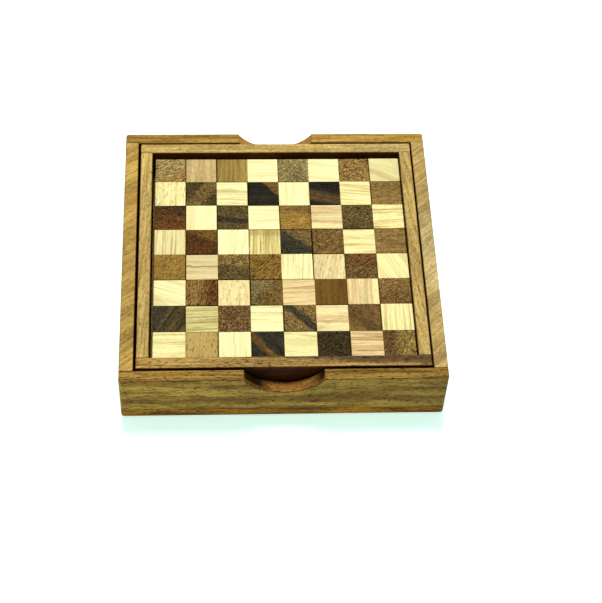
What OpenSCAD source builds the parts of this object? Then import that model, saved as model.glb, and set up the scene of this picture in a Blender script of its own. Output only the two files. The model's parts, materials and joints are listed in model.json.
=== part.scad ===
// Checkerboard packing puzzle: twelve five-cube pieces and one four-cube square, glued up from
// cubes of a pale and a dark wood. They fill a tray, and the tray stands in a box whose front and
// back walls have finger notches. Millimetres, +Z up. The origin is the middle of the box's
// underside, and -Y is the front.

/* [Cubes] */
// Edge of one cube, face to face
cube_size = 14.9; // [12:0.1:20]
// Bevel along every edge of a cube
cube_ease = 0.25; // [0.1:0.05:0.5]
// Gap between two pieces that stand side by side
piece_gap = 0.3; // [0.1:0.05:0.6]
// How far a slipped piece stands off its place, as a share of that gap
piece_slip = 0.35; // [0:0.05:0.45]

/* [Tray] */
// Play from side to side between the pieces and the tray
tray_play_x = 1.8; // [0.6:0.1:3]
// Play from front to back between the pieces and the tray
tray_play_y = 2.4; // [0.6:0.1:4]
// Share of the play by which all the pieces stand towards the right
pieces_push_x = 0.6; // [-0.8:0.1:0.8]
// Share of the play by which all the pieces stand towards the front
pieces_push_y = 0.9; // [-0.9:0.1:0.9]
// Thickness of the tray's left and right rails
tray_side_t = 5.9; // [4:0.1:10]
// Thickness of the tray's front and back rails
tray_end_t = 6; // [4:0.1:10]
// Thickness of the tray's floor
tray_floor_t = 6.3; // [3:0.1:10]
// Height of the tray's rim over the tops of the cubes
tray_recess = 2.1; // [0.5:0.1:6]

/* [Box] */
// Gap between the tray and the box on the left and the right, each side
box_gap_x = 0.8; // [0.3:0.1:2]
// Gap between the tray and the box at the front and the back, each side
box_gap_y = 1; // [0.3:0.1:2]
// Share of its gap by which the tray stands towards the right
tray_push_x = 0.3; // [-0.8:0.1:0.8]
// Share of its gap by which the tray stands towards the back
tray_push_y = 0.2; // [-0.8:0.1:0.8]
// Thickness of the box's left and right walls
box_side_t = 6.6; // [4:0.1:12]
// Thickness of the box's front and back walls
box_end_t = 6; // [4:0.1:12]
// Thickness of the box's base
box_base_t = 6.2; // [3:0.1:10]
// Radius of the box's four upright corners
box_corner_r = 1.5; // [0.5:0.1:3]
// Bevel along the rims of the box and the tray
rim_ease = 0.5; // [0.2:0.1:1]

/* [Finger notches] */
// Width of a finger notch at the rim
notch_w = 37; // [20:1:60]
// Depth of a finger notch below the rim
notch_depth = 10; // [5:0.5:12]

/* [Hidden] */
$fn = 64;
// The board's layout, a letter for the piece that each cube belongs to, with the back row first
ROWS = [
    "IYWWPPPV",
    "IYYWWPPV",
    "IYZZWVVV",
    "IYZOOTTT",
    "IZZOOFTL",
    "UUXFFFTL",
    "UXXXFNNL",
    "UUXNNNLL",
];
// Letter, name, and which way the piece has slipped: [right, back]
PIECES = [
    ["F", "f_piece", [1, -1]],
    ["I", "i_piece", [-1, 1]],
    ["L", "l_piece", [1, 1]],
    ["N", "n_piece", [-1, -1]],
    ["P", "p_piece", [0, -1]],
    ["T", "t_piece", [1, -1]],
    ["U", "u_piece", [-1, 1]],
    ["V", "v_piece", [1, 1]],
    ["W", "w_piece", [1, -1]],
    ["X", "x_piece", [-1, -1]],
    ["Y", "y_piece", [-1, 0]],
    ["Z", "z_piece", [0, 0]],
    ["O", "square_piece", [-1, -1]],
];
BOARDS = [
    "box_base", "box_front_wall", "box_back_wall", "box_left_wall", "box_right_wall",
    "tray_floor", "tray_front_rail", "tray_back_rail", "tray_left_rail", "tray_right_rail",
];
WOODS = ["light", "dark"];
function cubes_node(piece, wood) = str(piece[1], "_", wood, "_cubes");

grid = len(ROWS);
pitch = cube_size + piece_gap;
tray_in_x = grid * pitch + tray_play_x;
tray_in_y = grid * pitch + tray_play_y;
tray_x = tray_in_x + 2 * tray_side_t;
tray_y = tray_in_y + 2 * tray_end_t;
tray_rail_h = cube_size + tray_recess;
box_in_x = tray_x + 2 * box_gap_x;
box_in_y = tray_y + 2 * box_gap_y;
box_x = box_in_x + 2 * box_side_t;
box_y = box_in_y + 2 * box_end_t;
box_wall_h = tray_floor_t + tray_rail_h;
cubes_z = box_base_t + tray_floor_t;
rim_z = box_base_t + box_wall_h;
tray_at = [tray_push_x * box_gap_x, tray_push_y * box_gap_y, 0];
notch_r = (pow(notch_w / 2, 2) + pow(notch_depth, 2)) / (2 * notch_depth);
through = 1;

// Shapes

// A rectangle of w by d with a bevel of e at the corners asked for: near the axis, far from it
module eased_outline(w, d, e, low = true, high = true) {
    lo = low ? e : 0;
    hi = high ? e : 0;
    polygon([[lo, 0], [w - lo, 0], [w, lo], [w, d - hi], [w - hi, d], [hi, d], [0, d - hi], [0, lo]]);
}

// A block with every edge bevelled, from the origin to size
module eased_block(size, e) {
    intersection() {
        linear_extrude(size.z) eased_outline(size.x, size.y, e);
        translate([0, size.y, 0]) rotate([90, 0, 0]) linear_extrude(size.y) eased_outline(size.x, size.z, e);
        rotate([90, 0, 90]) linear_extrude(size.x) eased_outline(size.y, size.z, e);
    }
}

// A board laid along X, from the origin to size, with its two top edges bevelled
module board_along_x(size, e) {
    rotate([90, 0, 90]) linear_extrude(size.x) eased_outline(size.y, size.z, e, low = false);
}

// The same along Y
module board_along_y(size, e) {
    translate([0, size.y, 0]) rotate([90, 0, 0]) linear_extrude(size.y)
        eased_outline(size.x, size.z, e, low = false);
}

// The box's outline seen from above, with round corners, raised to height h
module box_outline(h) {
    x = box_x / 2 - box_corner_r;
    y = box_y / 2 - box_corner_r;
    linear_extrude(h) union() {
        square([box_x, 2 * y], center = true);
        square([2 * x, box_y], center = true);
        for (sx = [-1, 1], sy = [-1, 1]) translate([sx * x, sy * y]) circle(box_corner_r);
    }
}

// Box

module box_base() {
    color("peru") box_outline(box_base_t);
}

// The front wall, where side is -1, or the back wall, where it is 1
module box_end_wall(side) {
    y = side > 0 ? box_in_y / 2 : -box_y / 2;
    difference() {
        intersection() {
            translate([0, 0, box_base_t]) box_outline(box_wall_h);
            translate([-box_x / 2, y, box_base_t]) board_along_x([box_x, box_end_t, box_wall_h], rim_ease);
        }
        translate([0, y - through, rim_z - notch_depth + notch_r])
            rotate([-90, 0, 0]) cylinder(r = notch_r, h = box_end_t + 2 * through, $fn = 128);
    }
}

module box_front_wall() {
    color("sienna") box_end_wall(-1);
}

module box_back_wall() {
    color("peru") box_end_wall(1);
}

module box_left_wall() {
    color("burlywood") translate([-box_x / 2, -box_in_y / 2, box_base_t])
        board_along_y([box_side_t, box_in_y, box_wall_h], rim_ease);
}

module box_right_wall() {
    color("burlywood") translate([box_in_x / 2, -box_in_y / 2, box_base_t])
        board_along_y([box_side_t, box_in_y, box_wall_h], rim_ease);
}

// Tray

module tray_floor() {
    color("tan") translate(tray_at + [-tray_x / 2, -tray_y / 2, box_base_t])
        eased_block([tray_x, tray_y, tray_floor_t], cube_ease);
}

// The front rail, where side is -1, or the back rail, where it is 1
module tray_end_rail(side) {
    y = side > 0 ? tray_in_y / 2 : -tray_y / 2;
    translate(tray_at + [-tray_x / 2, y, cubes_z]) board_along_x([tray_x, tray_end_t, tray_rail_h], rim_ease);
}

module tray_front_rail() {
    color("goldenrod") tray_end_rail(-1);
}

module tray_back_rail() {
    color("goldenrod") tray_end_rail(1);
}

module tray_left_rail() {
    color("khaki") translate(tray_at + [-tray_x / 2, -tray_in_y / 2, cubes_z])
        board_along_y([tray_side_t, tray_in_y, tray_rail_h], rim_ease);
}

module tray_right_rail() {
    color("khaki") translate(tray_at + [tray_in_x / 2, -tray_in_y / 2, cubes_z])
        board_along_y([tray_side_t, tray_in_y, tray_rail_h], rim_ease);
}

// Pieces

function letter(r, c) = r < 0 || r >= grid || c < 0 || c >= grid ? "" : ROWS[r][c];

// The colours alternate, but the square stands a quarter turn round from the rest
function is_dark(r, c) = ((r + c) % 2 == 0) != (letter(r, c) == "O");

// Space left at a cube's face: none where it is glued to the next cube of its piece
function space(r, c, dr, dc) = letter(r, c) == letter(r + dr, c + dc) ? 0 : piece_gap / 2;

// One cube, which fills its cell of the grid apart from the space at its free faces
module cube_in_cell(r, c) {
    left = space(r, c, 0, -1);
    right = space(r, c, 0, 1);
    front = space(r, c, 1, 0);
    back = space(r, c, -1, 0);
    x = (c - grid / 2) * pitch + left;
    y = (grid / 2 - 1 - r) * pitch + front;
    translate([x, y, cubes_z])
        eased_block([pitch - left - right, pitch - front - back, cube_size], cube_ease);
}

// Every cube of one wood in one piece, moved with the piece
module piece_cubes(piece, wood) {
    slip = piece[2] * piece_slip * piece_gap;
    push = [pieces_push_x * tray_play_x, -pieces_push_y * tray_play_y] / 2;
    at = tray_at + [slip.x + push.x, slip.y + push.y, 0];
    color(wood == "dark" ? "saddlebrown" : "moccasin") translate(at)
        for (r = [0 : grid - 1], c = [0 : grid - 1])
            if (letter(r, c) == piece[0] && is_dark(r, c) == (wood == "dark")) cube_in_cell(r, c);
}

box_base();
box_front_wall();
box_back_wall();
box_left_wall();
box_right_wall();
tray_floor();
tray_front_rail();
tray_back_rail();
tray_left_rail();
tray_right_rail();
for (piece = PIECES, wood = WOODS)
    piece_cubes(piece, wood);
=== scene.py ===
"""Checkerboard pentomino puzzle in its tray and box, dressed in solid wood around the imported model.

Every board and every cube is a piece of solid timber. It has its own grain direction, its own figure
and its own place in the log, so the pattern runs round the edges and comes out as end grain on the
ends. Straight boards and cubes are grown by one Geometry Nodes tree, and the two walls with finger
notches are shaped as meshes. All lengths are in metres unless a name or a docstring says otherwise.
"""

from __future__ import annotations

import json
import logging
import math
from dataclasses import dataclass, field
from enum import Enum
from typing import NamedTuple

import bmesh
import bpy
import numpy as np
from mathutils import Matrix, Vector

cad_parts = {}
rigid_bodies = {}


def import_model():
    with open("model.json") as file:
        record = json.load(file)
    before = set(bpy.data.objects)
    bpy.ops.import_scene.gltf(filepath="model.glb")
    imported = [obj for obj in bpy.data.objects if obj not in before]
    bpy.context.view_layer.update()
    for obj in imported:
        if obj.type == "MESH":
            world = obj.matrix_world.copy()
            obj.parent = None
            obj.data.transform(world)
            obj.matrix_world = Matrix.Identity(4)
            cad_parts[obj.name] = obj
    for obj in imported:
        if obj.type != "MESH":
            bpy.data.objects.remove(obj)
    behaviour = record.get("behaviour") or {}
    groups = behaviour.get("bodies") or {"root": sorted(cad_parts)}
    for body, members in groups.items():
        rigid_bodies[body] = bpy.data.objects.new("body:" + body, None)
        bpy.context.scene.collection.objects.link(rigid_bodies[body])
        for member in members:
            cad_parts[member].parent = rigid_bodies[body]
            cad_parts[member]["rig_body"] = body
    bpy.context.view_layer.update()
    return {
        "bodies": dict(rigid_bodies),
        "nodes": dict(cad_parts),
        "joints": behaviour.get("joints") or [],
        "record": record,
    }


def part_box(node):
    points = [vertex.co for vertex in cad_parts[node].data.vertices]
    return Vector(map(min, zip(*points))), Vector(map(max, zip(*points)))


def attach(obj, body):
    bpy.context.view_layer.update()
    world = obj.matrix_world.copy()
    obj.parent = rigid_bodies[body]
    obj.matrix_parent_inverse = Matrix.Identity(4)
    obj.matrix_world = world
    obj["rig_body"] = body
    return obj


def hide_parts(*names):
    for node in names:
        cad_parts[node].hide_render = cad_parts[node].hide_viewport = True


LOG = logging.getLogger("puzzle")
MM = 0.001
HAIR = MM / 100
COLOURS = ("pale", "deep", "core")
# The data type and the field of a mesh attribute, by how many numbers it holds for each point
ATTRIBUTES = {1: ("FLOAT", "value"), 3: ("FLOAT_VECTOR", "vector"), 4: ("FLOAT_COLOR", "color")}
Tree, Node, Socket = bpy.types.NodeTree, bpy.types.Node, bpy.types.NodeSocket
Piece, Mesh, Material = bpy.types.Object, bpy.types.Mesh, bpy.types.Material
Pair = tuple[float, float]
Triple = tuple[float, float, float]
Cell = tuple[int, int]


def add_object(name: str, data: bpy.types.ID) -> Piece:
    """Adds an object to the scene."""
    made = bpy.data.objects.new(name, data)
    bpy.context.scene.collection.objects.link(made)
    return made


def open_tree(name: str, family: str, inputs: dict[str, str], outputs: dict[str, str]) -> Tree:
    """Starts a node group.

    Args:
        name: the group's name.
        family: Shader or Geometry.
        inputs: the kind of each input, by its name.
        outputs: the kind of each output.

    Returns:
        The group, with its sockets and no nodes.
    """
    tree = bpy.data.node_groups.new(name, family + "NodeTree")
    for way, sockets in (("INPUT", inputs), ("OUTPUT", outputs)):
        for label, kind in sockets.items():
            tree.interface.new_socket(name=label, in_out=way, socket_type="NodeSocket" + kind)
    return tree


def write_attribute(mesh: Mesh, name: str, values: object) -> None:
    """Writes one attribute on a mesh's points.

    Args:
        mesh: the mesh.
        name: the attribute's name.
        values: for each point one number, a vector's three or a colour's four.
    """
    rows = np.asarray(values, np.float32).reshape(len(mesh.vertices), -1)
    kind, slot = ATTRIBUTES[rows.shape[1]]
    mesh.attributes.new(name, kind, "POINT").data.foreach_set(slot, rows.ravel())


def shade(levels: tuple[int, int, int]) -> Triple:
    """Turns a paint-chart shade, with levels from 0 to 255, into the linear colour that shaders use."""
    parts = (level / 255 for level in levels)
    return tuple(part / 12.92 if part <= 0.04045 else ((part + 0.055) / 1.055) ** 2.4 for part in parts)


# ---- Wiring: the calls that both kinds of node tree share ----


class Wiring:
    """Adds nodes to one tree and joins them up."""

    def __init__(self, tree: Tree) -> None:
        """Keeps the tree that the nodes go into."""
        self.tree = tree

    def feed(self, socket: Socket, value: object) -> None:
        """Joins another node's socket to this one, or sets a plain value on it."""
        if isinstance(value, Socket):
            self.tree.links.new(value, socket)
        else:
            socket.default_value = value

    def node(self, kind: str, inputs: dict | None = None, **settings: object) -> Node:
        """Adds a node.

        Args:
            kind: the node's type name.
            inputs: values or sockets for its inputs, by name or number.
            settings: the node's own settings.

        Returns:
            The new node.
        """
        made = self.tree.nodes.new(kind)
        for name, value in settings.items():
            setattr(made, name, value)
        for key, value in (inputs or {}).items():
            self.feed(made.inputs[key], value)
        return made

    def step(self, kind: str, geometry: Socket, inputs: dict | None = None, **settings: object) -> Socket:
        """Adds a node that changes a geometry, and returns what comes out of it."""
        return self.node("GeometryNode" + kind, {0: geometry} | (inputs or {}), **settings).outputs[0]

    def trait(self, name: str, kind: str = "FLOAT_VECTOR") -> Socket:
        """Reads an attribute that came from a block's point."""
        node = self.node("GeometryNodeInputNamedAttribute", {"Name": name}, data_type=kind)
        return next(s for s in node.outputs if s.enabled and s.name == "Attribute")

    def store(self, geometry: Socket, name: str, value: Socket, kind: str = "FLOAT") -> Socket:
        """Stores a value on every vertex, and returns the geometry."""
        settings = {"data_type": kind, "domain": "POINT"}
        node = self.node("GeometryNodeStoreNamedAttribute", {"Geometry": geometry, "Name": name}, **settings)
        self.feed(next(s for s in node.inputs if s.enabled and s.name == "Value"), value)
        return node.outputs["Geometry"]

    def math(self, operation: str, *values: object, clamp: bool = False) -> Socket:
        """Adds a Math node and returns its result."""
        inputs = dict(enumerate(values))
        return self.node("ShaderNodeMath", inputs, operation=operation, use_clamp=clamp).outputs[0]

    def vector(self, operation: str, *values: object) -> Socket:
        """Adds a Vector Math node and returns its vector, or its number if it measures something."""
        outputs = self.node("ShaderNodeVectorMath", dict(enumerate(values)), operation=operation).outputs
        return outputs["Value" if operation in ("LENGTH", "DOT_PRODUCT") else "Vector"]

    def split(self, vector: Socket) -> tuple[Socket, ...]:
        """Returns a vector's three numbers."""
        return tuple(self.node("ShaderNodeSeparateXYZ", {0: vector}).outputs)

    def mix(self, factor: object, first: object, second: object, blend: str = "MIX") -> Socket:
        """Mixes two colours and returns the result."""
        made = self.node("ShaderNodeMix", data_type="RGBA", blend_type=blend)
        for key, value in ((0, factor), (6, first), (7, second)):
            self.feed(made.inputs[key], value)
        return made.outputs[2]

    def ease(self, value: object, low: float, high: float) -> Socket:
        """Eases a value from 0 at low to 1 at high."""
        inputs = {"Value": value, "From Min": low, "From Max": high, "To Min": 0.0, "To Max": 1.0}
        return self.node("ShaderNodeMapRange", inputs, interpolation_type="SMOOTHSTEP").outputs["Result"]

    def noise(
        self, place: object, scale: Triple, detail: float = 2.0, roughness: float = 0.5, twist: float = 0.0,
        output: int = 0,
    ) -> Socket:
        """Adds a Noise Texture.

        Args:
            place: the place in the log, with X along the grain.
            scale: how many pattern units there are to a metre on each axis.
            detail: octaves of finer detail.
            roughness: how strong the finer detail is.
            twist: how much the pattern curls.
            output: 0 for one pattern, 1 for three at once.

        Returns:
            The pattern, about 0.5.
        """
        inputs = {"Vector": self.vector("MULTIPLY", place, scale), "Scale": 1.0}
        inputs |= {"Detail": detail, "Roughness": roughness, "Distortion": twist}
        return self.node("ShaderNodeTexNoise", inputs).outputs[output]


# ---- Woods: tones, cuts and the look of one block ----


class Tone(Enum):
    """A wood's ground shade and the shade of its streaks."""

    CREAM = ((251, 251, 184), (246, 230, 158))
    STRAW = ((247, 240, 168), (230, 208, 134))
    BLUSH = ((246, 230, 164), (224, 190, 132))
    ROSE = ((238, 214, 152), (204, 166, 110))
    FLAX = ((240, 228, 152), (206, 190, 112))
    SAND = ((220, 194, 130), (180, 150, 92))
    BISCUIT = ((196, 166, 96), (150, 118, 62))
    HONEY = ((172, 145, 74), (124, 98, 42))
    OAT = ((150, 133, 82), (96, 84, 50))
    HAZEL = ((152, 122, 66), (96, 70, 36))
    AMBER = ((156, 122, 54), (112, 84, 34))
    TEAK = ((126, 91, 34), (94, 66, 24))
    NUT = ((134, 103, 54), (78, 54, 26))
    UMBER = ((118, 90, 49), (60, 42, 22))
    RUSSET = ((100, 63, 25), (60, 36, 12))
    OLIVE = ((94, 78, 40), (46, 39, 20))
    SLATE = ((68, 63, 46), (36, 35, 24))
    EBONY = ((42, 39, 28), (26, 24, 16))
    GOLD = ((194, 161, 82), (158, 122, 54))
    WHEAT = ((198, 170, 104), (156, 127, 66))
    FAIR = ((226, 204, 140), (190, 160, 96))
    TRAY = ((198, 171, 97), (164, 133, 67))
    RAIL = ((198, 164, 86), (152, 114, 50))
    WALL = ((173, 139, 61), (121, 89, 34))
    BASE = ((170, 114, 26), (104, 64, 8))
    CUT = ((180, 126, 58), (106, 60, 26))
    CHAR = ((66, 48, 36), (34, 24, 18))

    def shades(self) -> tuple[Triple, Triple]:
        """Returns both as linear colours."""
        return shade(self.value[0]), shade(self.value[1])


@dataclass(frozen=True)
class Figure:
    """How strongly each kind of mark shows in a block, from 0 to about 1.

    Attributes:
        stripe: broad growth stripes.
        line: thin dark lines.
        speckle: short curly flecks.
        pore: open pores, as dots or dashes.
        ribbon: slow changes of shade across the grain.
        end: True where the end grain faces up.
    """

    stripe: float
    line: float
    speckle: float
    pore: float
    ribbon: float
    end: bool = False


class Cut(Enum):
    """The ways in which a block was sawn from its stick."""

    PLAIN = Figure(0.40, 0.15, 0.03, 0.10, 0.10)
    FAINT = Figure(0.50, 0.45, 0.02, 0.10, 0.12)
    LINED = Figure(0.50, 0.70, 0.03, 0.20, 0.12)
    RULED = Figure(0.90, 1.00, 0.04, 0.30, 0.20)
    DASHED = Figure(0.45, 0.30, 0.04, 0.75, 0.12)
    BANDED = Figure(1.00, 0.45, 0.04, 0.30, 0.45)
    FINE = Figure(0.50, 0.20, 0.10, 0.20, 0.20)
    GRAINY = Figure(0.35, 0.10, 0.28, 0.10, 0.35)
    CURLED = Figure(0.40, 0.15, 0.48, 0.15, 0.50)
    SMOKY = Figure(0.90, 0.25, 0.30, 0.25, 0.70)
    SPECKLED = Figure(0.30, 0.00, 0.60, 0.25, 0.60, end=True)
    COARSE = Figure(0.30, 0.00, 0.85, 0.45, 0.50, end=True)
    SLASHED = Figure(0.75, 0.15, 0.10, 0.50, 0.90)
    STREAKED = Figure(0.90, 0.60, 0.14, 1.00, 0.50)
    STRAIGHT = Figure(0.75, 0.35, 0.14, 0.55, 0.45)


@dataclass(frozen=True)
class Heart:
    """A patch or a band of another tone across a block.

    Attributes:
        tone: the patch's wood.
        towards: the way into the patch, in degrees from +X round to +Y.
        reach: how far its near side stands off the block's middle, that way, in millimetres.
        soft: the width of the change, in millimetres.
        amount: how much of the patch's tone takes over.
        width: how wide the patch is, in millimetres.
    """

    tone: Tone
    towards: float
    reach: float
    soft: float = 2.0
    amount: float = 1.0
    width: float = 200.0


NO_HEART = Heart(Tone.CREAM, 0, 0, amount=0)


@dataclass(frozen=True)
class Look:
    """One block's wood.

    Attributes:
        tone: its shades.
        cut: how it was sawn.
        grain: the grain's direction, in degrees from +X round to +Y.
        heart: a patch of another tone.
        depth: how light it came out, against the tone's own 1.
    """

    tone: Tone
    cut: Cut
    grain: float = 0.0
    heart: Heart = NO_HEART
    depth: float = 1.0


class Sides(NamedTuple):
    """A number for each of a block's six faces: first the low side of X, Y and Z, then the high side."""

    left: float = 0.0
    front: float = 0.0
    bottom: float = 0.0
    right: float = 0.0
    back: float = 0.0
    top: float = 0.0


# How much of the rounding radius each face gives its edges: 1 if free, nearly 0 if glued
FREE = Sides(1.0, 1.0, 1.0, 1.0, 1.0, 1.0)
# No face takes painted shade
NO_PAINTED_SHADE = Sides()


@dataclass
class Timber:
    """The wood of one block, and where in the log it lay.

    Attributes:
        look: its tone, cut, grain and patch.
        log: a place in the log, so that no two blocks share a pattern.
        roll: how the growth layers lean round the grain, in degrees.
        tip: how far the end grain is tipped from level, in degrees.
        lean: how much a patch's line leans back as it goes down.
    """

    look: Look
    log: Vector
    roll: float = 25.0
    tip: float = 84.0
    lean: float = 0.25

    def turn(self) -> Matrix:
        """Returns the turn that brings the grain onto X, with its layers rolled round it."""
        turned = Matrix.Rotation(-math.radians(self.look.grain), 3, "Z")
        if self.look.cut.value.end:
            turned = Matrix.Rotation(math.radians(self.tip), 3, "Y") @ turned
        return Matrix.Rotation(math.radians(self.roll), 3, "X") @ turned

    def patch_line(self) -> tuple[Vector, float]:
        """Returns the way into the patch, and how far off the middle it starts."""
        angle = math.radians(self.look.heart.towards)
        way = Vector((math.cos(angle), math.sin(angle), self.lean))
        return way.normalized(), self.look.heart.reach * MM

    def traits(self) -> dict[str, tuple[float, ...]]:
        """Returns what the wood's shader reads that is the same all over the block.

        Returns:
            The value of each attribute, by name.
        """
        figure, heart = self.look.cut.value, self.look.heart
        shades = (*self.look.tone.shades(), heart.tone.shades()[0])
        scaled = [(*(self.look.depth * part for part in made), 1.0) for made in shades]
        colours = dict(zip(COLOURS, scaled, strict=True))
        return colours | {
            "marks": (figure.stripe, figure.line, figure.speckle),
            "accents": (figure.pore, figure.ribbon, heart.amount),
            "softness": (heart.soft * MM,),
            "breadth": (heart.width * MM,),
        }


# ---- Finishes: the wood's shader ----


@dataclass(frozen=True)
class WoodFigure:
    """The pattern of solid wood, as one shader group. Scales are pattern units to a metre.

    Attributes:
        wander: how the grain wanders off its line, and by how much.
        layer: the growth stripes, and where in their noise they begin and are full.
        hair: the thin lines, which lie where a slow noise crosses its middle.
        hair_shade: what a thin line multiplies the deep shade by.
        fleck: the short curly flecks.
        pore: the open pores, and where in their noise they begin and are full.
        drift: the slow changes of shade.
        darkest: the least that flecks and drift multiply the colour by.
        edge: the wobble of a patch's edge.
        core_shade: what a growth stripe in a patch multiplies its colour by, and how strongly.
    """

    wander: Triple = (35.0, 70.0, 70.0)
    wander_by: Triple = (0.0004, 0.0016, 0.0016)
    layer: Triple = (26.0, 680.0, 140.0)
    layer_range: Pair = (0.38, 0.64)
    hair: Triple = (16.0, 780.0, 120.0)
    hair_width: float = 0.08
    hair_range: Pair = (0.38, 0.58)
    hair_shade: Triple = (0.62, 0.52, 0.42)
    fleck: Triple = (560.0, 1400.0, 1400.0)
    fleck_depth: float = 12.0
    pore: Triple = (380.0, 1500.0, 1500.0)
    pore_range: Pair = (0.56, 0.68)
    drift: Triple = (25.0, 110.0, 60.0)
    drift_depth: float = 1.8
    darkest: float = 0.25
    edge: Triple = (180.0, 260.0, 260.0)
    edge_by: float = 0.003
    core_shade: Triple = (0.4, 0.36, 0.3)
    core_streak: float = 0.45

    def build(self) -> Tree:
        """Builds the group.

        Returns:
            A group with the inputs Pore shade, Edge shade and Painted shade and the outputs Colour and
            Height.
        """
        shades = dict.fromkeys(("Pore shade", "Edge shade", "Painted shade"), "Color")
        tree = open_tree("wood_figure", "Shader", shades, {"Colour": "Color", "Height": "Float"})
        w = Wiring(tree)
        given = w.node("NodeGroupInput").outputs

        def read(name: str, output: str) -> Socket:
            """Reads one of the piece's own attributes."""
            return w.node("ShaderNodeAttribute", attribute_name=name).outputs[output]

        place = read("log_place", "Vector")
        pale, deep = read("pale", "Color"), read("deep", "Color")
        stripe, line, speckle = w.split(read("marks", "Vector"))
        pore, ribbon, patch = w.split(read("accents", "Vector"))
        sway = w.vector("SUBTRACT", w.noise(place, self.wander, 1.0, output=1), (0.5,) * 3)
        swayed = w.vector("MULTIPLY_ADD", sway, self.wander_by, place)

        layers = w.noise(swayed, self.layer, 4.0, 0.62)
        stripes = w.math("MULTIPLY", w.ease(layers, *self.layer_range), stripe)
        crossing = w.math("ABSOLUTE", w.math("SUBTRACT", w.noise(swayed, self.hair, 2.0), 0.5))
        hairs = w.math("SUBTRACT", 1.0, w.ease(crossing, 0.0, self.hair_width))
        hairs = w.math("MULTIPLY", hairs, line)
        hairs = w.math("MULTIPLY", hairs, w.ease(layers, *self.hair_range), clamp=True)
        flecks = w.math("SUBTRACT", w.noise(place, self.fleck, 1.5, 0.6, 1.4), 0.5)
        pores = w.ease(w.noise(swayed, self.pore, 1.0), *self.pore_range)
        pores = w.math("MULTIPLY", pores, pore, clamp=True)
        drift = w.math("SUBTRACT", w.noise(swayed, self.drift, 2.0), 0.5)

        wobble = w.math("SUBTRACT", w.noise(place, self.edge, 2.0), 0.5)
        into = w.math("MULTIPLY_ADD", wobble, self.edge_by, read("zone", "Fac"))
        soft = read("softness", "Fac")
        past = w.ease(w.math("DIVIDE", w.math("SUBTRACT", into, read("breadth", "Fac")), soft), -0.5, 0.5)
        inside = w.math("SUBTRACT", w.ease(w.math("DIVIDE", into, soft), -0.5, 0.5), past)

        core = read("core", "Color")
        streak = w.math("MULTIPLY", stripes, self.core_streak)
        streaked = w.mix(streak, core, (*self.core_shade, 1), "MULTIPLY")
        colour = w.mix(stripes, pale, deep)
        colour = w.mix(w.math("MULTIPLY", inside, patch), colour, streaked)
        colour = w.mix(hairs, colour, w.mix(1.0, deep, (*self.hair_shade, 1), "MULTIPLY"))
        light = w.math("MULTIPLY_ADD", w.math("MULTIPLY", flecks, speckle), self.fleck_depth, 1.0)
        light = w.math("ADD", light, w.math("MULTIPLY", w.math("MULTIPLY", drift, ribbon), self.drift_depth))
        light = w.math("MAXIMUM", light, self.darkest)
        bright = w.node("ShaderNodeCombineXYZ", {axis: light for axis in range(3)}).outputs[0]
        colour = w.vector("MULTIPLY", colour, bright)
        # Pores darken with the wood's own colour. Rounded edges darken partly as wear and partly as painted
        # shade of the gaps, and marked faces take painted shade for the recess or gap they face
        for label, amount in zip(shades, (pores, read("arris", "Fac"), read("painted_shade", "Fac"))):
            colour = w.mix(amount, colour, given[label], "MULTIPLY")

        height = w.math("MULTIPLY_ADD", flecks, 0.6, w.math("MULTIPLY", layers, 0.4))
        height = w.math("SUBTRACT", height, pores)
        w.node("NodeGroupOutput", {"Colour": colour, "Height": height})
        return tree


@dataclass(frozen=True)
class WoodFinish:
    """How one of the four woods is sanded and oiled.

    Attributes:
        slot: the material slot that the finish is for.
        roughness: how matt the wood is between its pores.
        gloss: how strongly it reflects.
        relief: how deep its pores and flecks are, in metres.
        pore_shade: what a pore multiplies the wood's colour by.
        edge_shade: what a rounded edge multiplies it by, partly as wear and partly as painted shade of the
            gaps.
        painted_shade_tint: what a face with painted shade, for the recess or gap that it faces, multiplies
            it by.
    """

    slot: str
    roughness: float
    gloss: float
    relief: float
    pore_shade: Triple
    edge_shade: Triple
    # The tint of painted shade on faces that look into a recess or gap
    painted_shade_tint: Triple = (0.14, 0.06, 0.02)

    def build(self, figure: Tree) -> Material:
        """Builds the material.

        Args:
            figure: the group that draws the wood.

        Returns:
            The material.
        """
        made = bpy.data.materials.new(self.slot)
        made.use_nodes = True
        made.node_tree.nodes.clear()
        w = Wiring(made.node_tree)
        wood = w.node("ShaderNodeGroup", node_tree=figure)
        shades = (self.pore_shade, self.edge_shade, self.painted_shade_tint)
        for socket, value in zip(wood.inputs, shades, strict=True):
            socket.default_value = (*value, 1)
        rough = w.math("MULTIPLY_ADD", wood.outputs["Height"], -0.15, self.roughness + 0.03, clamp=True)
        inputs = {"Height": wood.outputs["Height"], "Distance": self.relief, "Strength": 0.6}
        normal = w.node("ShaderNodeBump", inputs).outputs["Normal"]
        inputs = {"Base Color": wood.outputs["Colour"], "Roughness": rough, "Normal": normal}
        shader = w.node("ShaderNodeBsdfPrincipled", inputs | {"Specular IOR Level": self.gloss})
        w.node("ShaderNodeOutputMaterial", {"Surface": shader.outputs[0]})
        return made


# Edge shade darkens rounded edges, partly as wear and partly as painted shade of the gaps
BOX_FINISH = WoodFinish("box_wood", 0.55, 0.06, 0.10 * MM, (0.42, 0.30, 0.20), (0.30, 0.16, 0.08))
TRAY_FINISH = WoodFinish("tray_wood", 0.55, 0.10, 0.10 * MM, (0.45, 0.34, 0.24), (0.72, 0.60, 0.50))
LIGHT_FINISH = WoodFinish("light_wood", 0.55, 0.10, 0.06 * MM, (0.58, 0.48, 0.32), (0.90, 0.82, 0.66))
DARK_FINISH = WoodFinish("dark_wood", 0.55, 0.03, 0.06 * MM, (0.30, 0.27, 0.24), (0.70, 0.66, 0.60))


# ---- The block maker: one Geometry Nodes tree for every straight board and cube ----


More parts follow.
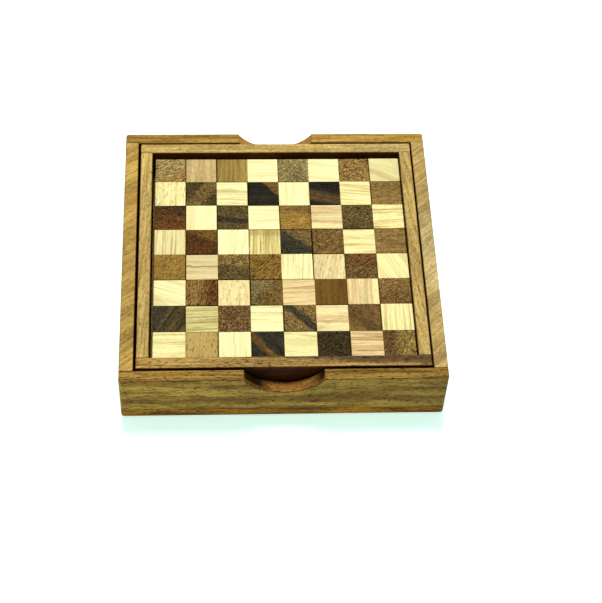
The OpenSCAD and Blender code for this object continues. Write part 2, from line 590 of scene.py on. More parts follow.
@dataclass
class Block:
    """One straight block of wood: its corners, wood, rounded edges and faces with painted shade."""

    low: Vector
    high: Vector
    timber: Timber
    ease: Sides = FREE
    painted_shade: Sides = NO_PAINTED_SHADE

    def sizes(self) -> dict[str, object]:
        """Returns what only the block maker reads: the value of each attribute, by name."""
        way, start = self.timber.patch_line()
        return {
            "low": self.low,
            "high": self.high,
            "ease_low": self.ease[:3],
            "ease_high": self.ease[3:],
            "painted_shade_low": self.painted_shade[:3],
            "painted_shade_high": self.painted_shade[3:],
            "turn": self.timber.turn().to_euler("XYZ"),
            "log": self.timber.log,
            "patch_way": way,
            "patch_from": (start,),
        }


@dataclass
class BlockMaker:
    """Grows eased blocks from points. Each point's attributes say where its block lies and what it is.

    Attributes:
        rows: vertices along each edge of a block: two for the face and two for each rounding.
        bend: where the middle row of a rounding lies, as a share of the radius from the edge.
        weld: the distance under which rows that fell together are joined.
        sharp: the angle past which an edge is left crisp, in degrees.
    """

    rows: int = 6
    bend: float = 0.586
    weld: float = 2e-6
    sharp: float = 40.0
    tree: Tree | None = None

    def build(self) -> None:
        """Builds the tree, with the inputs Points, Radius, Edge wear and shade, Weld and Wood."""
        sizes = dict.fromkeys(("Radius", "Edge wear and shade", "Weld"), "Float")
        inputs = {"Points": "Geometry"} | sizes | {"Wood": "Material"}
        self.tree = open_tree("eased_blocks", "Geometry", inputs, {"Blocks": "Geometry"})
        w = Wiring(self.tree)
        given = w.node("NodeGroupInput").outputs
        rows = {f"Vertices {axis}": self.rows for axis in "XYZ"}
        unit = w.node("GeometryNodeMeshCube", {"Size": (1, 1, 1)} | rows)
        blocks = w.step("InstanceOnPoints", given["Points"], {"Instance": unit.outputs["Mesh"]})
        blocks = w.step("RealizeInstances", blocks)

        # The rows lie at 0.1, 0.3 and 0.5 from the middle. They go to where the rounding starts,
        # to its middle and to its edge, by a curve through 0, 1 - bend and 1.
        corner = w.node("GeometryNodeInputPosition").outputs[0]
        side = w.vector("SIGN", corner)
        out = w.vector("SUBTRACT", w.vector("ABSOLUTE", corner), (0.1,) * 3)
        curve = 25 * (self.bend - 0.5)
        slope = w.vector("MULTIPLY_ADD", out, (curve,) * 3, (2.5 - 0.4 * curve,) * 3)
        past = w.vector("MULTIPLY", out, slope)
        high_side = w.vector("MULTIPLY_ADD", side, (0.5,) * 3, (0.5,) * 3)

        def either(low: Socket, high: Socket) -> Socket:
            """Takes each axis from low or from high, by the side that the vertex is on."""
            return w.vector("MULTIPLY_ADD", w.vector("SUBTRACT", high, low), high_side, low)

        low, high = w.trait("low"), w.trait("high")
        eases = either(w.trait("ease_low"), w.trait("ease_high"))
        scaled = w.node("ShaderNodeVectorMath", {0: eases, "Scale": given["Radius"]}, operation="SCALE")
        radius = scaled.outputs["Vector"]
        core = w.vector("SUBTRACT", either(low, high), w.vector("MULTIPLY", side, radius))
        lean = w.vector("MULTIPLY", w.vector("MULTIPLY", side, past), w.vector("SIGN", radius))
        facing = w.vector("NORMALIZE", lean)
        place = w.vector("MULTIPLY_ADD", facing, radius, core)

        # How far a vertex lies round an edge: 0 on a flat face, 1 in the middle of the rounding
        x, y, z = w.split(w.vector("ABSOLUTE", facing))
        most = w.math("MAXIMUM", w.math("MAXIMUM", x, y), z)
        round_part = w.math("DIVIDE", w.math("SUBTRACT", 1.0, most), 1 - math.sqrt(0.5), clamp=True)
        arris = w.math("MULTIPLY", round_part, w.vector("LENGTH", facing))
        # Rounded edges darken by this share, partly as wear and partly as painted shade of the gaps between
        # parts
        blocks = w.store(blocks, "arris", w.math("MULTIPLY", arris, given["Edge wear and shade"]))
        # Painted shade: each face that looks into a recess or gap is darkened by its block's share
        painted_shades = either(w.trait("painted_shade_low"), w.trait("painted_shade_high"))
        painted_shade = w.vector("DOT_PRODUCT", w.vector("ABSOLUTE", facing), painted_shades)
        blocks = w.store(blocks, "painted_shade", painted_shade)
        blocks = w.step("SetPosition", blocks, {"Position": place})

        middle = w.vector("MULTIPLY", w.vector("ADD", low, high), (0.5,) * 3)
        offset = w.vector("SUBTRACT", w.node("GeometryNodeInputPosition").outputs[0], middle)
        turn = w.node("FunctionNodeEulerToRotation", {"Euler": w.trait("turn")})
        inputs = {"Vector": offset, "Rotation": turn.outputs["Rotation"]}
        turned = w.node("FunctionNodeRotateVector", inputs).outputs["Vector"]
        log_place = w.vector("ADD", turned, w.trait("log"))
        blocks = w.store(blocks, "log_place", log_place, "FLOAT_VECTOR")
        into = w.vector("DOT_PRODUCT", offset, w.trait("patch_way"))
        zone = w.math("SUBTRACT", into, w.trait("patch_from", "FLOAT"))
        blocks = w.store(blocks, "zone", zone)

        blocks = w.step("MergeByDistance", blocks, {"Distance": given["Weld"]}, mode="CONNECTED")
        blocks = w.step("SetShadeSmooth", blocks, {"Shade Smooth": True})
        angle = w.node("GeometryNodeInputMeshEdgeAngle").outputs["Unsigned Angle"]
        crisp = w.math("GREATER_THAN", angle, math.radians(self.sharp))
        crisped = {"Selection": crisp, "Shade Smooth": False}
        blocks = w.step("SetShadeSmooth", blocks, crisped, domain="EDGE")
        blocks = w.step("RealizeInstances", blocks)
        blocks = w.step("SetMaterial", blocks, {"Material": given["Wood"]})
        w.node("NodeGroupOutput", {"Blocks": blocks})

    def points(self, name: str, blocks: list[Block]) -> Mesh:
        """Makes the points that carry the blocks.

        Args:
            name: the mesh's name.
            blocks: the blocks.

        Returns:
            A mesh with one vertex for each block, all at the origin.
        """
        mesh = bpy.data.meshes.new(name)
        mesh.from_pydata([(0, 0, 0)] * len(blocks), [], [])
        rows = [block.sizes() | block.timber.traits() for block in blocks]
        for key in rows[0]:
            write_attribute(mesh, key, [tuple(row[key]) for row in rows])
        return mesh

    def grow(
        self, name: str, blocks: list[Block], radius: float, wood: Material, edge_wear_and_shade: float = 1.0
    ) -> Piece:
        """Grows one piece.

        Args:
            name: the piece's name.
            blocks: its blocks.
            radius: the radius of their rounded edges.
            wood: their material.
            edge_wear_and_shade: how strongly their edges darken, partly as wear and partly as painted shade
                of the gaps.

        Returns:
            An object with a plain mesh, in place.
        """
        piece = add_object(name, self.points(name + "_points", blocks))
        grower = piece.modifiers.new("grow", "NODES")
        grower.node_group = self.tree
        values = {"Radius": radius, "Edge wear and shade": edge_wear_and_shade, "Weld": self.weld, "Wood": wood}
        for item in self.tree.interface.items_tree:
            if item.name in values:
                grower[item.identifier] = values[item.name]
        make_plain(piece)
        for key in blocks[0].sizes():
            piece.data.attributes.remove(piece.data.attributes[key])
        return piece


def make_plain(piece: Piece) -> None:
    """Replaces a piece's mesh and modifiers by the mesh that they make.

    Wide faces keep a flat shading beside their rounded edges.
    """
    piece.modifiers.new("even_normals", "WEIGHTED_NORMAL").keep_sharp = True
    graph = bpy.context.evaluated_depsgraph_get()
    shown = piece.evaluated_get(graph)
    made = bpy.data.meshes.new_from_object(shown, preserve_all_data_layers=True, depsgraph=graph)
    made.name = piece.name
    piece.modifiers.clear()
    piece.data = made


# ---- The workshop: what every sub-assembly is built with ----


@dataclass(frozen=True)
class Board:
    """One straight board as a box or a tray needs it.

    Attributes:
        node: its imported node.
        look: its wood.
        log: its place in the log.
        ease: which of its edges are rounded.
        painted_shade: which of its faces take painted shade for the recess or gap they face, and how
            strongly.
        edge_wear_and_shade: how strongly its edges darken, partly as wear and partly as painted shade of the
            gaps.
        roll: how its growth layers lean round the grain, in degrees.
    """

    node: str
    look: Look
    log: Triple
    ease: Sides = FREE
    painted_shade: Sides = NO_PAINTED_SHADE
    edge_wear_and_shade: float = 0.4
    roll: float = 15.0


@dataclass
class Workshop:
    """The block maker and the finishes, and the calls that hand a finished piece to the frame."""

    maker: BlockMaker = field(default_factory=BlockMaker)
    woods: dict[str, Material] = field(default_factory=dict)

    def open(self) -> None:
        """Builds the tree and the materials."""
        self.maker.build()
        figure = WoodFigure().build()
        for finish in (BOX_FINISH, TRAY_FINISH, LIGHT_FINISH, DARK_FINISH):
            self.woods[finish.slot] = finish.build(figure)

    def deliver(self, piece: Piece, body: str, node: str) -> None:
        """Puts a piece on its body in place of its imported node.

        Args:
            piece: the finished piece.
            body: the body that it moves with.
            node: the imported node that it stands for.
        """
        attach(piece, body)
        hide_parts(node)
        LOG.info("%s on %s: %d faces", piece.name, body, len(piece.data.polygons))

    def board(self, board: Board, body: str, slot: str, radius: float) -> None:
        """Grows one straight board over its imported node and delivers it.

        Args:
            board: the board.
            body: the body that it moves with.
            slot: its material slot.
            radius: the radius of its rounded edges.
        """
        low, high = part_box(board.node)
        timber = Timber(board.look, Vector(board.log), board.roll)
        block = Block(low, high, timber, board.ease, board.painted_shade)
        piece = self.maker.grow(board.node + "_board", [block], radius, self.woods[slot], board.edge_wear_and_shade)
        self.deliver(piece, body, board.node)


# ---- The box ----


@dataclass
class NotchedWall:
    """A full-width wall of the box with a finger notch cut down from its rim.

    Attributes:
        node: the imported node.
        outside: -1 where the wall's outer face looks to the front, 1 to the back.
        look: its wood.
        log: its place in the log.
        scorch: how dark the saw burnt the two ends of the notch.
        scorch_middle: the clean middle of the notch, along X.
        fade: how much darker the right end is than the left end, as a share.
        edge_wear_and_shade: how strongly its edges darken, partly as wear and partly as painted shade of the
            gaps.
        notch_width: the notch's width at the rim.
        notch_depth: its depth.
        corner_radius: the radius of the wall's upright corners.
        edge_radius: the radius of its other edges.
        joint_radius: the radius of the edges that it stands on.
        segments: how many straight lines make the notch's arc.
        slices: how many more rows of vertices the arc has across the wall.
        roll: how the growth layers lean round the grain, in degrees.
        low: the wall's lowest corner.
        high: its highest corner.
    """

    node: str
    outside: int
    look: Look
    log: Triple
    scorch: float = 0.0
    scorch_middle: float = 3 * MM
    fade: float = 0.0
    edge_wear_and_shade: float = 0.5
    notch_width: float = 37 * MM
    notch_depth: float = 10 * MM
    corner_radius: float = 1.5 * MM
    edge_radius: float = 0.5 * MM
    joint_radius: float = 0.15 * MM
    segments: int = 40
    slices: int = 5
    roll: float = 12.0
    low: Vector = field(init=False)
    high: Vector = field(init=False)

    def __post_init__(self) -> None:
        """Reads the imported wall's corners."""
        self.low, self.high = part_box(self.node)

    def arc(self) -> Pair:
        """Returns the radius of the notch's arc and the height of its middle."""
        radius = ((self.notch_width / 2) ** 2 + self.notch_depth**2) / (2 * self.notch_depth)
        return radius, self.high.z - self.notch_depth + radius

    def outline(self) -> list[Pair]:
        """Returns the wall's outline seen from the front, anticlockwise, as X and Z.

        Returns:
            The corners and the points of the arc.
        """
        low, high, (radius, centre) = self.low, self.high, self.arc()
        swing = math.asin(self.notch_width / 2 / radius)
        angles = [swing * (1 - 2 * i / self.segments) for i in range(self.segments + 1)]
        arc = [(radius * math.sin(a), centre - radius * math.cos(a)) for a in angles]
        return [(low.x, low.z), (high.x, low.z), (high.x, high.z), *arc, (low.x, high.z)]

    def shape(self) -> Mesh:
        """Shapes the wall.

        Returns:
            A closed mesh with rounded edges.
        """
        low, high, bm = self.low, self.high, bmesh.new()

        def bevel(edges: list, radius: float, segments: int) -> None:
            """Rounds some of the wall's edges."""
            settings = {"offset_type": "OFFSET", "profile": 0.5, "affect": "EDGES", "clamp_overlap": True}
            bmesh.ops.bevel(bm, geom=edges, offset=radius, segments=segments, **settings)

        ring = [bm.verts.new((x, low.y, z)) for x, z in self.outline()]
        face = bm.faces.new(ring)
        grown = bmesh.ops.extrude_face_region(bm, geom=[face])["geom"]
        moved = [v for v in grown if isinstance(v, bmesh.types.BMVert)]
        bmesh.ops.translate(bm, verts=moved, vec=(0, high.y - low.y, 0))
        bmesh.ops.recalc_face_normals(bm, faces=bm.faces)
        outer_y = high.y if self.outside > 0 else low.y

        def lies_on(edge: bmesh.types.BMEdge, axis: int, place: float) -> bool:
            """Tells whether an edge lies in a plane across an axis."""
            return all(abs(v.co[axis] - place) < HAIR for v in edge.verts)

        def crosses(edge: bmesh.types.BMEdge) -> bool:
            """Tells whether an edge runs through the wall along the notch's arc."""
            start, end = (v.co for v in edge.verts)
            under_notch = abs(start.x) < self.notch_width / 2 and low.z + MM < start.z < high.z - MM / 2
            return under_notch and edge.calc_length() > (high.y - low.y) / 2 and abs(start.x - end.x) < HAIR

        upright = [
            e for e in bm.edges
            if lies_on(e, 1, outer_y) and (lies_on(e, 0, low.x) or lies_on(e, 0, high.x))
        ]
        bevel(upright, self.corner_radius, 5)
        rim = [
            e for e in bm.edges
            if not lies_on(e, 2, low.z) and e.calc_face_angle(0) > math.radians(30)
            and (lies_on(e, 1, low.y) or lies_on(e, 1, high.y) or lies_on(e, 2, high.z))
        ]
        bevel(rim, self.edge_radius, 4)
        foot = [e for e in bm.edges if lies_on(e, 2, low.z)]
        bevel(foot, self.joint_radius, 2)
        across = [e for e in bm.edges if crosses(e)]
        bmesh.ops.subdivide_edges(bm, edges=across, cuts=self.slices, use_grid_fill=True)
        mesh = bpy.data.meshes.new(self.node)
        bm.to_mesh(mesh)
        bm.free()
        return mesh

    def paint(self, mesh: Mesh) -> None:
        """Writes the attributes that the wood's shader reads on the wall's mesh."""
        low, high = self.low, self.high
        timber = Timber(self.look, Vector(self.log), self.roll)
        places = np.array([v.co for v in mesh.vertices])
        facing = np.array([v.normal for v in mesh.vertices])
        offset = places - np.array((low + high) / 2)
        length, thickness = high.x - low.x, high.y - low.y
        across = facing[:, 1] ** 2
        between = np.abs(offset[:, 0]) < length / 2 - self.corner_radius - self.edge_radius
        radius, centre = self.arc()
        reach = np.hypot(places[:, 0], places[:, 2] - centre)
        on_arc = (reach < radius + MM / 10) & (places[:, 2] > low.z + MM)
        # The inner face, below the rim, takes painted shade for the gap between the wall and the tray
        inside = np.clip(-self.outside * facing[:, 1], 0, 1) * (places[:, 2] < high.z - 0.4 * MM)

        # The burn starts almost half way out to the notch's ends, and is stronger further in
        outward = np.abs(places[:, 0] - self.scorch_middle) / (self.notch_width / 2)
        inward = 0.5 - self.outside * offset[:, 1] / thickness
        scorch = self.scorch * np.clip((outward - 0.45) / 0.3, 0, 1) * np.clip(0.3 + 2 * inward, 0, 1)
        fading = 1 - self.fade * (offset[:, 0] / length + 0.5)
        fading = np.where(on_arc, 1 - 0.96 * scorch, fading)[:, None]

        write_attribute(mesh, "log_place", offset @ np.array(timber.turn()).T + np.array(self.log))
        # The long level edges and the notch's edges darken, partly as a worn rim and partly as painted shade
        # where they face the tray
        write_attribute(mesh, "arris", self.edge_wear_and_shade * np.clip(4 * across * (1 - across), 0, 1) * between)
        write_attribute(mesh, "zone", np.where(on_arc, 5 * MM, -5 * MM))
        write_attribute(mesh, "painted_shade", inside)
        for name, value in timber.traits().items():
            rows = np.array([value] * len(places))
            write_attribute(mesh, name, rows * fading if name in COLOURS else rows)

    def build(self, shop: Workshop) -> None:
        """Shapes, dresses and delivers the wall."""
        mesh = self.shape()
        self.paint(mesh)
        mesh.materials.append(shop.woods[BOX_FINISH.slot])
        mesh.shade_smooth()
        mesh.set_sharp_from_angle(angle=math.radians(shop.maker.sharp))
        piece = add_object(self.node + "_board", mesh)
        make_plain(piece)
        shop.deliver(piece, "box", self.node)


@dataclass
class Box:
    """The outer box: a base, two side walls, and two end walls with finger notches.

    Attributes:
        corner_radius: the radius of the base's corners and lower edges.
        edge_radius: the radius of the walls' edges.
        glued: the ease that a glued edge keeps, which draws its joint as a fine line.
        base_glued: the same for the base's joint with the walls.
    """

    corner_radius: float = 1.5 * MM
    edge_radius: float = 0.5 * MM
    glued: float = 0.12
    base_glued: float = 0.08

    def build(self, shop: Workshop) -> None:
        """Builds the five boards."""
        side = FREE._replace(front=self.glued, back=self.glued, bottom=self.glued)
        upward = FREE._replace(top=self.base_glued)
        base = Board("box_base", Look(Tone.BASE, Cut.STREAKED, 1), (0.3, 0.1, 0.7), upward)
        gold = Look(Tone.GOLD, Cut.SLASHED, 38)
        # Each side wall's face towards the tray takes painted shade
        left = Board("box_left_wall", gold, (1.2, 0.4, 0.1), side, Sides(right=1), 0.8)
        sapwood = Heart(Tone.FAIR, 80, -22, soft=22, amount=0.6, width=48)
        fair = Look(Tone.WHEAT, Cut.SLASHED, 42, sapwood, 0.93)
        right = Board("box_right_wall", fair, (1.9, 0.7, 0.3), side, Sides(left=1), 0.6)
        shop.board(base, "box", BOX_FINISH.slot, self.corner_radius)
        shop.board(left, "box", BOX_FINISH.slot, self.edge_radius)
        shop.board(right, "box", BOX_FINISH.slot, self.edge_radius)
        cut = Heart(Tone.CUT, 0, 0, soft=1.0, amount=0.9)
        streaked, straight = Look(Tone.WALL, Cut.STREAKED, 0, cut), Look(Tone.WALL, Cut.STRAIGHT, 1, cut)
        log = (2.6, 0.2, 0.5)
        front = NotchedWall("box_front_wall", -1, streaked, log, scorch=1.0, fade=0.25, edge_wear_and_shade=1.0)
        back = NotchedWall("box_back_wall", 1, straight, (3.1, 0.9, 0.2), fade=-0.3)
        for wall in (front, back):
            wall.build(shop)


# ---- The tray ----


@dataclass
class Tray:
    """The lift-out tray: a floor, two full-width end rails, and two side rails between them.

    Attributes:
        edge_radius: the radius of its edges.
        glued: the ease that a glued edge keeps.
    """

    edge_radius: float = 0.5 * MM
    glued: float = 0.08

    def build(self, shop: Workshop) -> None:
        """Builds the five boards."""
        over, end = FREE._replace(top=self.glued), FREE._replace(bottom=self.glued)
        side = end._replace(front=self.glued, back=self.glued)
        char = Heart(Tone.CHAR, towards=86, reach=4.0, soft=2.5, amount=0.85)
        sapwood = Heart(Tone.FAIR, towards=0, reach=35, soft=30, amount=0.3)
        back = Look(Tone.TRAY, Cut.STRAIGHT, 1, sapwood)
        floor, left, right = (Look(Tone.TRAY, Cut.STRAIGHT, grain) for grain in (90, 86, 98))
        # Rail faces and floor edges that look into the gaps round the tray and the pieces take painted shade
        flanks, faces = Sides(left=1, right=1), Sides(front=1, back=1)
        around = Sides(left=0.9, front=0.9, right=0.9, back=0.9)
        boards = (
            Board("tray_floor", floor, (0.1, 4.1, 0.2), over, around),
            Board("tray_front_rail", Look(Tone.RAIL, Cut.STREAKED, -1, char), (0.5, 4.1, 0.5), end, faces),
            Board("tray_back_rail", back, (0.9, 4.1, 0.9), end, faces),
            Board("tray_left_rail", left, (1.4, 4.1, 1.2), side, flanks),
            Board("tray_right_rail", right, (1.8, 4.1, 1.6), side, flanks),
        )
        for board in boards:
            shop.board(board, "tray", TRAY_FINISH.slot, self.edge_radius)


# ---- The puzzle pieces ----

# Each cube's wood, with the back row first and the left cube first in each row
CUBE_LOOKS = (
    # Row 0, at the back
    Look(Tone.HAZEL, Cut.CURLED, 20, Heart(Tone.OAT, 120, 0, 6, 0.8), 1.08),
    Look(Tone.SAND, Cut.FINE, 90, depth=0.85),
    Look(Tone.HONEY, Cut.FINE, 88, depth=0.92),
    Look(Tone.CREAM, Cut.FAINT, 0),
    Look(Tone.OAT, Cut.SPECKLED, 0, depth=0.85),
    Look(Tone.CREAM, Cut.FAINT, -8, Heart(Tone.BLUSH, 79, -3.6, 0.4, 0.9, 0.5)),
    Look(Tone.HAZEL, Cut.COARSE, 0, Heart(Tone.NUT, 0, 0, 9, 0.5), 0.90),
    Look(Tone.STRAW, Cut.PLAIN, -30, Heart(Tone.SAND, 60, -3.5, 2.0, 0.7, 3), 0.86),
    # Row 1
    Look(Tone.STRAW, Cut.DASHED, 88, depth=0.97),
    Look(Tone.OLIVE, Cut.SPECKLED, 0, Heart(Tone.HAZEL, 325, -1, 4, 0.75, 7), 0.58),
    Look(Tone.CREAM, Cut.LINED, 0, Heart(Tone.ROSE, 90, 0.8, 1.5, 0.6, 2.2), 0.96),
    Look(Tone.EBONY, Cut.SMOKY, 0, Heart(Tone.NUT, 42, 6.2, 1.2, 0.7), 0.90),
    Look(Tone.CREAM, Cut.FAINT, 90),
    Look(Tone.EBONY, Cut.SMOKY, -14, Heart(Tone.UMBER, 76, -3.5, 3, 0.5, 6)),
    Look(Tone.STRAW, Cut.LINED, -6),
    Look(Tone.HAZEL, Cut.GRAINY, 4, depth=0.88),
    # Row 2
    Look(Tone.RUSSET, Cut.CURLED, -12, Heart(Tone.EBONY, 70, 3, 6, 0.6), 1.08),
    Look(Tone.CREAM, Cut.PLAIN, 90, Heart(Tone.BLUSH, 180, 4.5, 3, 0.9)),
    Look(Tone.OLIVE, Cut.SPECKLED, 0, Heart(Tone.EBONY, 263, 1.6, 1.5, 0.85, 3)),
    Look(Tone.CREAM, Cut.FAINT, 0),
    Look(Tone.AMBER, Cut.GRAINY, 12, Heart(Tone.UMBER, 80, 4.5, 2.5, 0.7), 1.06),
    Look(Tone.BLUSH, Cut.BANDED, 0, Heart(Tone.SAND, 90, -2, 1, 0.6, 1.6), 0.97),
    Look(Tone.OLIVE, Cut.COARSE, 0, depth=0.95),
    Look(Tone.STRAW, Cut.RULED, 4, depth=1.05),
    # Row 3
    Look(Tone.BLUSH, Cut.LINED, 88, Heart(Tone.STRAW, 0, -4, 4, 0.8), 0.94),
    Look(Tone.RUSSET, Cut.SPECKLED, 0, Heart(Tone.AMBER, 62, 4.5, 2, 0.45), 0.68),
    Look(Tone.CREAM, Cut.FAINT, 80),
    Look(Tone.FLAX, Cut.RULED, 88, Heart(Tone.BISCUIT, 90, 5.5, 2, 0.7), 1.03),
    Look(Tone.SLATE, Cut.SPECKLED, 0, Heart(Tone.HAZEL, 50, 3.5, 2.5, 0.5), 0.80),
    Look(Tone.NUT, Cut.CURLED, 40, depth=0.84),
    Look(Tone.STRAW, Cut.LINED, 2),
    Look(Tone.HAZEL, Cut.GRAINY, 4, Heart(Tone.UMBER, 255, 0.5, 2, 0.6, 2.5), 0.88),
    # Row 4
    Look(Tone.AMBER, Cut.GRAINY, 45, depth=0.90),
    Look(Tone.BLUSH, Cut.FAINT, -3, Heart(Tone.BISCUIT, 92, 1.8, 0.7, 1.0, 1.0), 0.84),
    Look(Tone.OLIVE, Cut.COARSE, 0, Heart(Tone.HAZEL, 80, 2.5, 4, 0.6), 0.92),
    Look(Tone.AMBER, Cut.CURLED, 40, Heart(Tone.TEAK, 0, -9, 4, 0.5), 0.86),
    Look(Tone.CREAM, Cut.LINED, 90),
    Look(Tone.BLUSH, Cut.DASHED, 80, depth=0.95),
    Look(Tone.UMBER, Cut.CURLED, 30, Heart(Tone.RUSSET, 90, 2, 5, 0.6)),
    Look(Tone.STRAW, Cut.FAINT, -62),
    # Row 5
    Look(Tone.CREAM, Cut.FAINT, -20, Heart(Tone.ROSE, 225, 7.0, 2, 0.6), 0.97),
    Look(Tone.NUT, Cut.CURLED, 75, Heart(Tone.RUSSET, 0, 3.5, 4, 0.9)),
    Look(Tone.BLUSH, Cut.DASHED, 90),
    Look(Tone.OAT, Cut.SPECKLED, 0, Heart(Tone.TEAK, 320, 0, 5, 0.7), 0.65),
    Look(Tone.ROSE, Cut.LINED, 5, depth=1.03),
    Look(Tone.TEAK, Cut.FINE, 90, depth=0.85),
    Look(Tone.BLUSH, Cut.BANDED, 90, Heart(Tone.ROSE, 0, 1, 2, 0.8, 3), 0.95),
    Look(Tone.NUT, Cut.SPECKLED, 0, Heart(Tone.HAZEL, 100, 2, 6, 0.4), 0.78),
    # Row 6
    Look(Tone.OLIVE, Cut.SMOKY, 60, Heart(Tone.SLATE, 180, 2, 7, 0.6), 1.05),
    Look(Tone.FLAX, Cut.RULED, 2, depth=0.86),
    Look(Tone.UMBER, Cut.COARSE, 0, depth=0.86),
    Look(Tone.CREAM, Cut.LINED, -3, depth=1.03),
    Look(Tone.HAZEL, Cut.SPECKLED, 0, Heart(Tone.SLATE, 45, 0.8, 2, 0.95, 4), 0.68),
    Look(Tone.BLUSH, Cut.BANDED, 0, Heart(Tone.SAND, 270, 2.6, 0.8, 0.9, 1.8)),
    Look(Tone.NUT, Cut.GRAINY, -42, Heart(Tone.OLIVE, 48, -2, 3, 0.6, 4), 0.80),
    Look(Tone.STRAW, Cut.LINED, 88, depth=1.03),
    # Row 7, at the front
    Look(Tone.STRAW, Cut.LINED, 0, depth=1.05),
    Look(Tone.BISCUIT, Cut.DASHED, 88),
    Look(Tone.CREAM, Cut.FAINT, 88, Heart(Tone.ROSE, 0, 1.2, 0.4, 0.7, 0.6)),
    Look(Tone.EBONY, Cut.SMOKY, -50, Heart(Tone.TEAK, 40, -1.8, 2.4, 0.5, 3.2), 1.45),
    Look(Tone.STRAW, Cut.LINED, -4),
    Look(Tone.OLIVE, Cut.COARSE, 0, depth=0.40),
    Look(Tone.ROSE, Cut.RULED, 0, Heart(Tone.SAND, 90, -1.5, 1.2, 0.7, 2.5), 1.05),
    Look(Tone.NUT, Cut.CURLED, 60, Heart(Tone.HONEY, 0, 1, 5, 0.8), 0.65),
)


@dataclass
class Cube:
    """One cube as it is packed: its node, its body and its corners."""

    node: str
    body: str
    low: Vector
    high: Vector


@dataclass
class Pieces:
    """The thirteen puzzle pieces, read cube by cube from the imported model.

    Attributes:
        grid: cubes along each side of the board.
        edge_radius: the radius of a free edge.
        glued: the ease that a glued edge keeps.
        roll: the least lean of a cube's growth layers, and the step between leans, in degrees.
        rolls: how many leans there are.
    """

    grid: int = 8
    edge_radius: float = 0.3 * MM
    glued: float = 0.1
    roll: float = 8.0
    rolls: int = 7

    def find(self, frame: dict) -> dict[Cell, Cube]:
        """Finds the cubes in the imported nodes.


        Returns:
            Each cell's cube, by row from the back and column from the left.
        """
        nodes = {name: made for name, made in frame["nodes"].items() if name.endswith("_cubes")}
        corners = [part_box(name) for name in nodes]
        left = min(low.x for low, _ in corners)
        back = max(high.y for _, high in corners)
        pitch = (max(high.x for _, high in corners) - left) / self.grid
        found: dict[Cell, Cube] = {}
        for name, made in nodes.items():
            for face in made.data.polygons:
                points = [made.data.vertices[i].co for i in face.vertices]
                middle = sum(points, Vector()) / len(points) - face.normal * (pitch / 4)
                cell = (int((back - middle.y) / pitch), int((middle.x - left) / pitch))
                fresh = Cube(name, made["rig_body"], points[0].copy(), points[0].copy())
                cube = found.setdefault(cell, fresh)
                for point in points:
                    cube.low = Vector(map(min, cube.low, point))
                    cube.high = Vector(map(max, cube.high, point))
        return found

    def ease(self, cubes: dict[Cell, Cube], cell: Cell) -> Sides:
        """Returns which edges of a cube are free: those that no cube of its own piece is glued to."""
        row, column = cell

        def free(down: int, across: int) -> float:
            """Returns the ease towards a neighbour."""
            other = cubes.get((row + down, column + across))
            return self.glued if other and other.body == cubes[cell].body else 1.0

        return FREE._replace(left=free(0, -1), right=free(0, 1), back=free(-1, 0), front=free(1, 0))

    def timber(self, cell: Cell) -> Timber:
        """Returns a cube's wood, each from its own place in the log."""
        row, column = cell
        log = Vector((0.31 * row, 0.47 * column, 0.05 * (row * self.grid + column)))
        roll = self.roll * (1 + (3 * row + 5 * column) % self.rolls)
        return Timber(CUBE_LOOKS[row * self.grid + column], log, roll)

    def build(self, shop: Workshop, frame: dict) -> None:
        """Grows the pale and the dark cubes of each piece."""
        cubes = self.find(frame)
        groups: dict[str, list[Cell]] = {}
        for cell in sorted(cubes):
            groups.setdefault(cubes[cell].node, []).append(cell)
        for node, cells in groups.items():
            slot = (DARK_FINISH if "_dark_" in node else LIGHT_FINISH).slot
            blocks = [Block(cubes[c].low, cubes[c].high, self.timber(c), self.ease(cubes, c)) for c in cells]
            name = node.replace("_cubes", "_wood")
            # The cubes' free edges darken, partly as wear and partly as painted shade of the gaps between
            # the pieces
            piece = shop.maker.grow(name, blocks, self.edge_radius, shop.woods[slot])
            shop.deliver(piece, cubes[cells[0]].body, node)


# ---- The studio ----


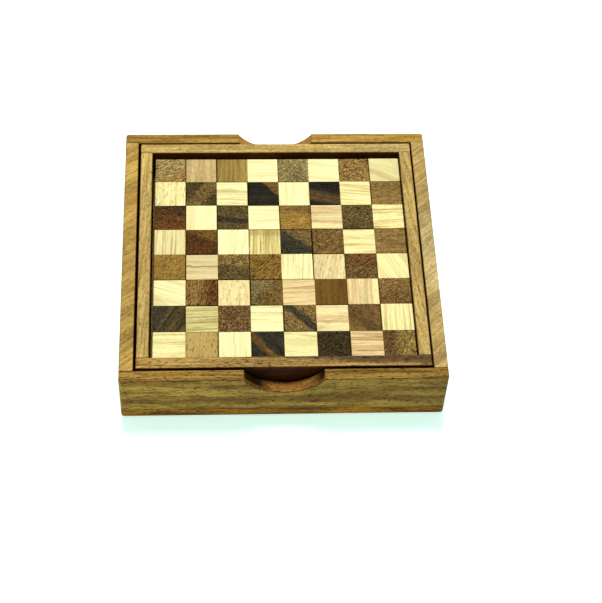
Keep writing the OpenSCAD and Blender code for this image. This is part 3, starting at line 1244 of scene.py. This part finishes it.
@dataclass(frozen=True)
class Studio:
    """The floor, the light and the camera.

    The power is in watts, and the lens in millimetres, on a sensor 36 millimetres wide. The glow lifts the
    floor towards white.
    """

    floor_size: float = 6.0
    floor_shade: Triple = (0.90, 0.96, 0.94)
    floor_glow: Triple = (0.46, 0.70, 0.62)
    sky: float = 0.38
    key_place: Triple = (0.0, 0.32, 0.95)
    key_size: float = 0.36
    key_power: float = 8.1
    eye: Triple = (-0.03147, -0.48235, 0.63870)
    looks_along: Triple = (0.05339, 0.59449, -0.80232)
    camera_up: Triple = (0.00912, 0.80314, 0.59571)
    lens: float = 96.86

    def lay_floor(self) -> None:
        """Lays the floor."""
        half = self.floor_size / 2
        mesh = bpy.data.meshes.new("floor")
        turns = ((-1, -1), (1, -1), (1, 1), (-1, 1))
        mesh.from_pydata([(half * x, half * y, -MM / 10) for x, y in turns], [], [(0, 1, 2, 3)])
        paper = bpy.data.materials.new("pale_floor")
        paper.use_nodes = True
        shader = paper.node_tree.nodes["Principled BSDF"]
        values = {"Base Color": (*self.floor_shade, 1), "Roughness": 1.0, "Specular IOR Level": 0.0}
        values |= {"Emission Color": (*self.floor_glow, 1), "Emission Strength": 1.0}
        for name, value in values.items():
            shader.inputs[name].default_value = value
        mesh.materials.append(paper)
        add_object("floor", mesh)

    def light(self) -> None:
        """Hangs the soft light and lights the room evenly."""
        world = bpy.data.worlds.new("room")
        world.use_nodes = True
        background = world.node_tree.nodes["Background"]
        background.inputs["Color"].default_value = (1, 1, 1, 1)
        background.inputs["Strength"].default_value = self.sky
        bpy.context.scene.world = world
        lamp = bpy.data.lights.new("key", "AREA")
        lamp.size = self.key_size
        lamp.energy = self.key_power
        key = add_object("key", lamp)
        key.location = self.key_place
        key.rotation_euler = (-Vector(self.key_place)).to_track_quat("-Z", "Y").to_euler()

    def set_camera(self) -> None:
        """Sets up the camera."""
        data = bpy.data.cameras.new("camera")
        data.lens = self.lens
        data.sensor_width = 36
        data.clip_start = 0.01
        camera = add_object("camera", data)
        back = -Vector(self.looks_along).normalized()
        right = Vector(self.camera_up).cross(back).normalized()
        up = back.cross(right)
        camera.matrix_world = Matrix.Translation(self.eye) @ Matrix((right, up, back)).transposed().to_4x4()
        bpy.context.scene.camera = camera

    def build(self) -> None:
        """Sets the stage."""
        self.lay_floor()
        self.light()
        self.set_camera()
        settings = bpy.context.scene.view_settings
        settings.view_transform = "Standard"
        settings.look = "None"


def main() -> None:
    """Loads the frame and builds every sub-assembly around it."""
    logging.basicConfig(level=logging.INFO, format="%(name)s: %(message)s")
    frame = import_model()
    Studio().build()
    shop = Workshop()
    shop.open()
    Box().build(shop)
    Tray().build(shop)
    Pieces().build(shop, frame)


if __name__ == "__main__":
    main()
